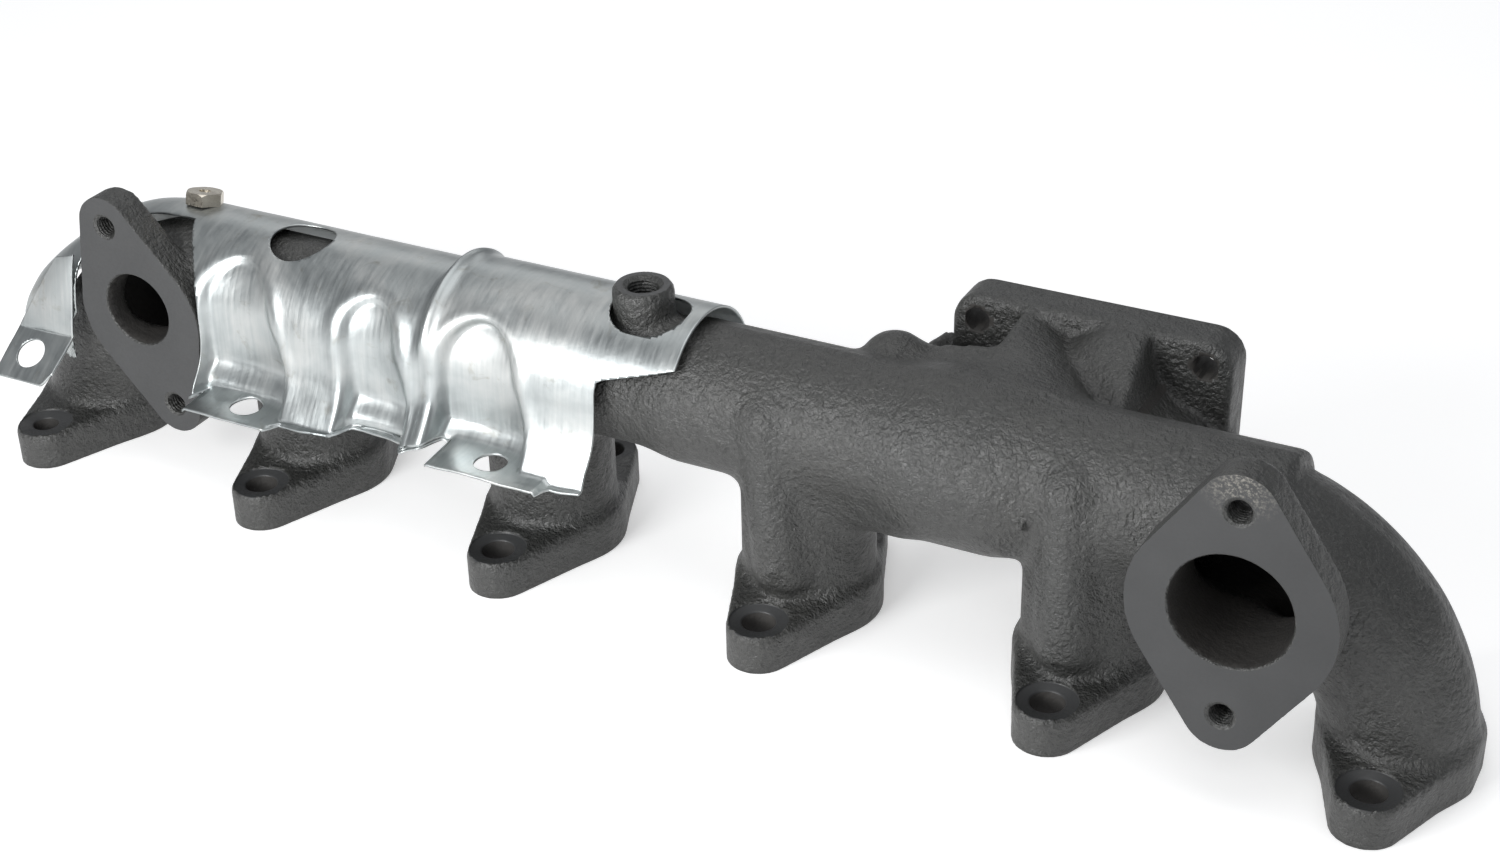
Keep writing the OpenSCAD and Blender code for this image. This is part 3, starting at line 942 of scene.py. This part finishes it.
def math_node(nt, op, a, b):
    m = nt.nodes.new("ShaderNodeMath")
    m.operation = op
    feed(nt, m.inputs[0], a)
    feed(nt, m.inputs[1], b)
    return m.outputs[0]


def mix_colours(nt, first, second, fac, mode):
    m = nt.nodes.new("ShaderNodeMix")
    m.data_type = "RGBA"
    m.blend_type = mode
    for i, v in ((0, fac), (6, first), (7, second)):
        feed(nt, m.inputs[i], v)
    return m.outputs[2]


def bump(nt, height, distance, strength=1.0, chain=None):
    b = nt.nodes.new("ShaderNodeBump")
    b.inputs["Strength"].default_value = strength
    b.inputs["Distance"].default_value = distance
    nt.links.new(height, b.inputs["Height"])
    if chain is not None:
        nt.links.new(chain, b.inputs["Normal"])
    return b.outputs[0]


def cast_paint():
    m, nt, b = material("cast_paint")
    v = coords(nt)
    fine = noise(nt, v, 520, 3, 0.6, 0.3)
    mid = noise(nt, v, 150, 3, 0.6)
    wide = noise(nt, v, 22, 3, 0.5)
    col = ramp(nt, wide, [(0.30, (0.020, 0.021, 0.020)), (0.75, (0.028, 0.028, 0.026))])
    speck = ramp(nt, fine, [(0.38, (0.70, 0.70, 0.70)), (0.64, (1.15, 1.15, 1.12))])
    nt.links.new(mix_colours(nt, col, speck, 1.0, "MULTIPLY"), b.inputs["Base Color"])
    nt.links.new(spread(nt, mid, 0.40, 0.56, 0.3, 0.7), b.inputs["Roughness"])
    b.inputs["Specular IOR Level"].default_value = 0.85
    n1 = bump(nt, wide, 0.0016, 0.5)
    n2 = bump(nt, mid, 0.0016, 0.8, n1)
    n3 = bump(nt, fine, 0.0011, 1.0, n2)
    nt.links.new(n3, b.inputs["Normal"])
    return m


def machined_paint():
    m, nt, b = material("machined_paint")
    v = coords(nt)
    lines = noise(nt, coords(nt, (1, 1, 40)), 30, 2, 0.5)
    wide = noise(nt, v, 28, 3, 0.55)
    fleck = noise(nt, v, 900, 2, 0.5)
    col = ramp(nt, wide, [(0.3, (0.030, 0.031, 0.032)), (0.7, (0.040, 0.041, 0.042))])
    # paint rubbed through to pale iron at the top of the large outlet's face
    far = nt.nodes.new("ShaderNodeVectorMath")
    far.operation = "DISTANCE"
    nt.links.new(v, far.inputs[0])
    far.inputs[1].default_value = (LARGE[0] * MM, LARGE[1] * MM, 0.136)
    near = spread(nt, far.outputs["Value"], 1.0, 0.0, 0.003, 0.017)
    patches = spread(nt, noise(nt, v, 700, 4, 0.75), 0, 0.7, 0.47, 0.66)
    worn = math_node(nt, "MULTIPLY", near, patches)
    shade = mix_colours(nt, col, (0.34, 0.32, 0.28, 1), worn, "MIX")
    nt.links.new(shade, b.inputs["Base Color"])
    nt.links.new(spread(nt, fleck, 0.36, 0.52, 0.3, 0.7), b.inputs["Roughness"])
    b.inputs["Specular IOR Level"].default_value = 0.5
    n1 = bump(nt, lines, 0.00012, 0.25)
    n2 = bump(nt, fleck, 0.00008, 0.4, n1)
    nt.links.new(n2, b.inputs["Normal"])
    return m


def dark_bore():
    m, nt, b = material("bore_scale")
    v = coords(nt)
    fine = noise(nt, v, 380, 3, 0.6)
    wide = noise(nt, v, 40, 3)
    col = ramp(nt, wide, [(0.3, (0.020, 0.019, 0.018)), (0.7, (0.040, 0.037, 0.034))])
    nt.links.new(col, b.inputs["Base Color"])
    b.inputs["Roughness"].default_value = 0.75
    nt.links.new(bump(nt, fine, 0.0006, 0.8), b.inputs["Normal"])
    return m


def galvanised():
    m, nt, b = material("aluminised_sheet")
    v = coords(nt)
    b.inputs["Metallic"].default_value = 1.0
    cloud = noise(nt, v, 26, 4, 0.6, 0.4)
    streak = noise(nt, coords(nt, (26, 3, 1.2)), 26, 3, 0.6)
    grain = noise(nt, v, 620, 2, 0.5)
    stain = noise(nt, v, 75, 4, 0.7, 0.8)
    mostly = math_node(nt, "MULTIPLY", cloud, 0.75)
    mixed = math_node(nt, "ADD", mostly, math_node(nt, "MULTIPLY", streak, 0.25))
    greys = [(0.32, (0.31, 0.335, 0.34)), (0.5, (0.43, 0.455, 0.455)), (0.68, (0.56, 0.57, 0.56))]
    col = ramp(nt, mixed, greys)
    dirt = ramp(nt, stain, [(0.60, (1, 1, 1)), (0.78, (0.72, 0.68, 0.62))])
    nt.links.new(mix_colours(nt, col, dirt, 1.0, "MULTIPLY"), b.inputs["Base Color"])
    worked = spread(nt, streak, -0.03, 0.08, 0.3, 0.7)
    rough = math_node(nt, "ADD", spread(nt, cloud, 0.30, 0.42, 0.3, 0.7), worked)
    nt.links.new(rough, b.inputs["Roughness"])
    n1 = bump(nt, cloud, 0.0012, 0.35)
    n2 = bump(nt, streak, 0.0002, 0.15, n1)
    n3 = bump(nt, grain, 0.00006, 0.35, n2)
    nt.links.new(n3, b.inputs["Normal"])
    return m


def stainless():
    m, nt, b = material("bolt_steel")
    v = coords(nt)
    b.inputs["Metallic"].default_value = 1.0
    cloud = noise(nt, v, 160, 3, 0.6)
    grain = noise(nt, v, 1500, 2, 0.5)
    col = ramp(nt, cloud, [(0.3, (0.50, 0.46, 0.39)), (0.7, (0.68, 0.64, 0.56))])
    nt.links.new(col, b.inputs["Base Color"])
    nt.links.new(spread(nt, grain, 0.26, 0.44, 0.3, 0.7), b.inputs["Roughness"])
    nt.links.new(bump(nt, grain, 0.00008, 0.5), b.inputs["Normal"])
    return m


# ---------------------------------------------------------------- build
casting = build_casting()
shield = build_shield()
for piece in (casting, shield):
    piece.data.materials.clear()
for mat in (cast_paint(), machined_paint(), dark_bore()):
    casting.data.materials.append(mat)
shield.data.materials.append(galvanised())


def assign_casting_finish():
    me = casting.data
    n = len(me.polygons)
    c = np.zeros(n * 3)
    nr = np.zeros(n * 3)
    me.polygons.foreach_get("center", c)
    me.polygons.foreach_get("normal", nr)
    c = c.reshape(-1, 3) * 1000
    nr = nr.reshape(-1, 3)
    idx = np.zeros(n, np.int32)
    tol = 0.06
    flat = (np.abs(c[:, 1] - LARGE[1]) < tol) & (nr[:, 1] < -0.98) & (c[:, 0] > 200)
    flat |= (np.abs(c[:, 1] - SMALL[1]) < tol) & (nr[:, 1] < -0.98) & (c[:, 0] < -195)
    flat |= (np.abs(c[:, 1] - TURBO[1]) < tol) & (nr[:, 1] > 0.98)
    flat |= (np.abs(c[:, 2]) < tol) & (nr[:, 2] < -0.98)
    flat |= (np.abs(c[:, 2] - BOSS_TOP) < tol) & (nr[:, 2] > 0.98)
    ry = np.hypot(c[:, 0][:, None] - np.array(PORT_X)[None, :], np.abs(c[:, 1])[:, None] - BOLT_Y)
    ry = ry.min(1)
    spot = (np.abs(c[:, 2] - SPOT_Z) < 0.7) & (ry > 5) & (ry < SPOT_R + 0.1)
    idx[flat | spot] = 1
    # inside the passages
    inner = np.hypot(pipe_offset(c[:, 0], c[:, 2]), c[:, 1]) < 23.9
    rp = np.abs(c[:, 0][:, None] - np.array(PORT_X[1:5])[None, :]).min(1)
    inner |= (np.hypot(rp, c[:, 1]) < 21.6) & (c[:, 2] > 0.5) & (c[:, 2] < LOG_Z)
    for name in ("small_outlet", "large_outlet"):
        p, r = at(name), mounts[name]["dims"]["r_mm"]
        near = np.hypot(c[:, 0] - p[0], c[:, 2] - p[2]) < r + 0.3
        inner |= near & (c[:, 1] > p[1] + 0.9) & (c[:, 1] < 0)
    near = (np.abs(c[:, 0] - TURBO[0]) < 32.3) & (np.abs(c[:, 2] - TURBO[2]) < 24.3)
    inner |= near & (c[:, 1] > 20) & (c[:, 1] < 76)
    inner &= ~((c[:, 1] > 20) & (c[:, 2] > TURBO[2] + 24.5))
    # inside the bolt holes
    inner |= (ry < 7.3) & (c[:, 2] < FLANGE_T - 1.7) & (c[:, 2] > 0.3)
    for *_, h in TURBO_BOLTS:
        near = np.hypot(c[:, 0] - h[0], c[:, 2] - h[2]) < TURBO_D["hole_r_mm"] + 0.4
        inner |= near & (c[:, 1] > 59) & (c[:, 1] < TURBO[1] - 0.7)
    idx[inner] = 2
    me.polygons.foreach_set("material_index", idx)
    me.polygons.foreach_set("use_smooth", ~flat)


assign_casting_finish()
shield.data.polygons.foreach_set("use_smooth", [True] * len(shield.data.polygons))
for o, angle in ((casting, 32), (shield, 38)):
    bpy.ops.object.select_all(action="DESELECT")
    o.select_set(True)
    bpy.context.view_layer.objects.active = o
    bpy.ops.object.shade_auto_smooth(angle=math.radians(angle))

steel = stainless()
for node in ("shield_bolt_top", "shield_bolt_rear"):
    o = frame["nodes"][node]
    o.data.materials.clear()
    o.data.materials.append(steel)
    bev = o.modifiers.new("edge break", "BEVEL")
    bev.width = 0.35 * MM
    bev.segments = 2
    bev.limit_method = "ANGLE"
    bev.angle_limit = math.radians(28)

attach(casting, "root")
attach(shield, "root")
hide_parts("manifold_casting")
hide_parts("heat_shield")

# ---------------------------------------------------------------- floor, light and camera
floor_me = bpy.data.meshes.new("floor")
FLOOR_HALF, FLOOR_Z = 6, -0.0002
corners = [(FLOOR_HALF * u, FLOOR_HALF * v, FLOOR_Z) for u, v in ((-1, -1), (1, -1), (1, 1), (-1, 1))]
floor_me.from_pydata(corners, [], [(0, 1, 2, 3)])
floor = bpy.data.objects.new("floor", floor_me)
bpy.context.scene.collection.objects.link(floor)
fm, _, fb = material("pale_floor")
fb.inputs["Base Color"].default_value = (0.86, 0.86, 0.86, 1)
fb.inputs["Roughness"].default_value = 0.85
fb.inputs["Emission Color"].default_value = (1, 1, 1, 1)
fb.inputs["Emission Strength"].default_value = 0.38
floor_me.materials.append(fm)

world = bpy.data.worlds.new("studio")
bpy.context.scene.world = world
world.use_nodes = True
world.node_tree.nodes["Background"].inputs[0].default_value = (0.95, 0.97, 1.0, 1)
world.node_tree.nodes["Background"].inputs[1].default_value = 0.34


def softbox(name, place, target, size, power, colour=(1, 1, 1)):
    light = bpy.data.lights.new(name, "AREA")
    light.shape = "RECTANGLE"
    light.size, light.size_y = size
    light.energy = power
    light.color = colour
    o = bpy.data.objects.new(name, light)
    o.location = place
    o.rotation_euler = (Vector(target) - Vector(place)).to_track_quat("-Z", "Y").to_euler()
    bpy.context.scene.collection.objects.link(o)


softbox("key", (-0.16, -0.66, 0.36), (0.12, 0, 0.07), (0.42, 0.34), 5.2)
softbox("front", (0.55, -1.25, 1.35), (0.1, 0, 0.06), (0.9, 0.5), 3.5)
softbox("top", (0.1, 0.1, 1.9), (0.05, 0, 0.06), (1.9, 1.5), 12.5)
softbox("back", (-0.75, 1.35, 1.0), (0, 0, 0.06), (1.4, 0.6), 2.4)

camera = bpy.data.objects.new("camera", bpy.data.cameras.new("camera"))
bpy.context.scene.collection.objects.link(camera)
azimuth, elevation, roll = math.radians(28.1), math.radians(29.9), math.radians(-1.3)
reach = math.cos(elevation)
back = Vector((math.sin(azimuth) * reach, -math.cos(azimuth) * reach, math.sin(elevation)))
level = Vector((math.cos(azimuth), math.sin(azimuth), 0))
upright = back.cross(level)
right = math.cos(roll) * level + math.sin(roll) * upright
up = -math.sin(roll) * level + math.cos(roll) * upright
turned = Matrix((right, up, back)).transposed().to_4x4()
camera.matrix_world = Matrix.Translation((0.4341, -0.7486, 0.5614)) @ turned
camera.data.sensor_width = 36
camera.data.lens = 59.04
camera.data.clip_start = 0.01
bpy.context.scene.camera = camera
bpy.context.scene.view_settings.view_transform = "Standard"
